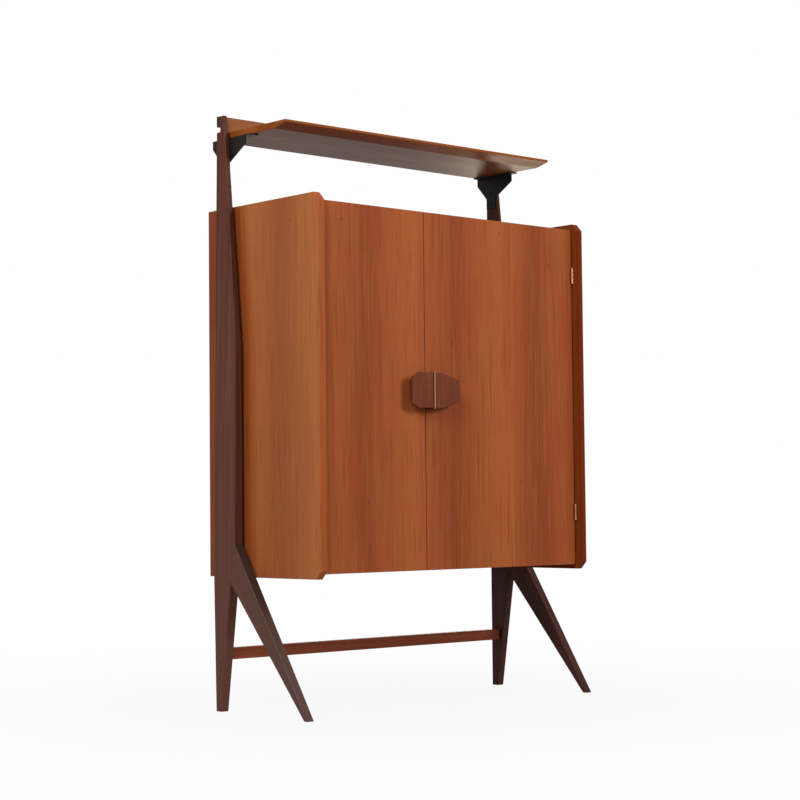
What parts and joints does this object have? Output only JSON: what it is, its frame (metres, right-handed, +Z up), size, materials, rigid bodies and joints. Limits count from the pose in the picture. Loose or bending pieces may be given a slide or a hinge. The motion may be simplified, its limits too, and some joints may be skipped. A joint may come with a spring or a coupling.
{
  "type": "bar cabinet",
  "caption": "Bar cabinet hung between open hardwood frames, with unequal inset doors, a shelf above on steel brackets and a serving shelf that folds down inside the wide door.",
  "frame": {"origin": "on the floor under the middle of the bounding box", "axes": "+Z up, +Y to the back, the doors face -Y, +X to the right seen from the front"},
  "size_m": [0.934, 0.426, 1.4],
  "materials": {
    "teak": "satin lacquered teak veneer",
    "inner_teak": "satin lacquered teak veneer on board",
    "beech": "clear lacquered beech",
    "plywood": "plain plywood",
    "dark_hardwood": "oiled dark hardwood",
    "black_steel": "matt black paint",
    "brass": "satin brass",
    "steel": "zinc plated",
    "aluminium": "satin",
    "catch_plastic": "brown moulded plastic"
  },
  "bodies": {
    "cabinet": {"left_side_panel": "teak", "right_side_panel": "teak", "top_shelf": "teak", "shelf_rail": "teak", "top_panel": "inner_teak", "bottom_panel": "inner_teak", "divider": "inner_teak", "left_shelf_lower": "inner_teak", "left_shelf_upper": "inner_teak", "right_shelf_lower": "inner_teak", "right_shelf_upper": "inner_teak", "leg_tenons": "beech", "shelf_battens": "beech", "back_panel": "plywood", "left_upright": "dark_hardwood", "right_upright": "dark_hardwood", "left_front_leg": "dark_hardwood", "right_front_leg": "dark_hardwood", "stretcher": "dark_hardwood", "left_bracket": "black_steel", "right_bracket": "black_steel", "left_hinge_frame_leaves": "brass", "right_hinge_frame_leaves": "brass", "hinge_pins": "brass", "frame_spacers": "steel", "frame_bolts": "steel", "door_catches": "catch_plastic"},
    "left_door": {"left_door": "teak", "left_hinge_door_leaves": "brass", "left_handle": "dark_hardwood", "left_door_strike": "steel"},
    "right_door": {"right_door": "teak", "right_hinge_door_leaves": "brass", "right_handle": "dark_hardwood", "handle_edge_strip": "aluminium", "right_door_strike": "steel", "ledge_left": "beech", "ledge_right": "beech", "arm_pin": "steel", "flap_ledge_leaves": "brass", "flap_hinge_pins": "brass", "flap_catch": "catch_plastic"},
    "fold_out_shelf": {"fold_out_shelf": "inner_teak", "flap_shelf_leaves": "brass", "flap_strike": "steel"},
    "support_arm": {"support_arm": "beech"}
  },
  "joints": [
    {"name": "left_door_hinge", "type": "hinge", "parent": "cabinet", "child": "left_door", "pos_m": [-0.41, -0.186, 0.745], "axis": [0, 0, -1], "range_deg": [0, 110]},
    {"name": "right_door_hinge", "type": "hinge", "parent": "cabinet", "child": "right_door", "pos_m": [0.41, -0.186, 0.745], "axis": [0, 0, 1], "range_deg": [0, 110]},
    {"name": "serving_shelf_fold", "type": "hinge", "parent": "right_door", "child": "fold_out_shelf", "pos_m": [0.1633, -0.144, 0.761], "axis": [-1, 0, 0], "range_deg": [0, 90]},
    {"name": "support_arm_swing", "type": "hinge", "parent": "right_door", "child": "support_arm", "pos_m": [0.058, -0.154, 0.741], "axis": [0, 0, 1], "range_deg": [0, 90]}
  ]
}
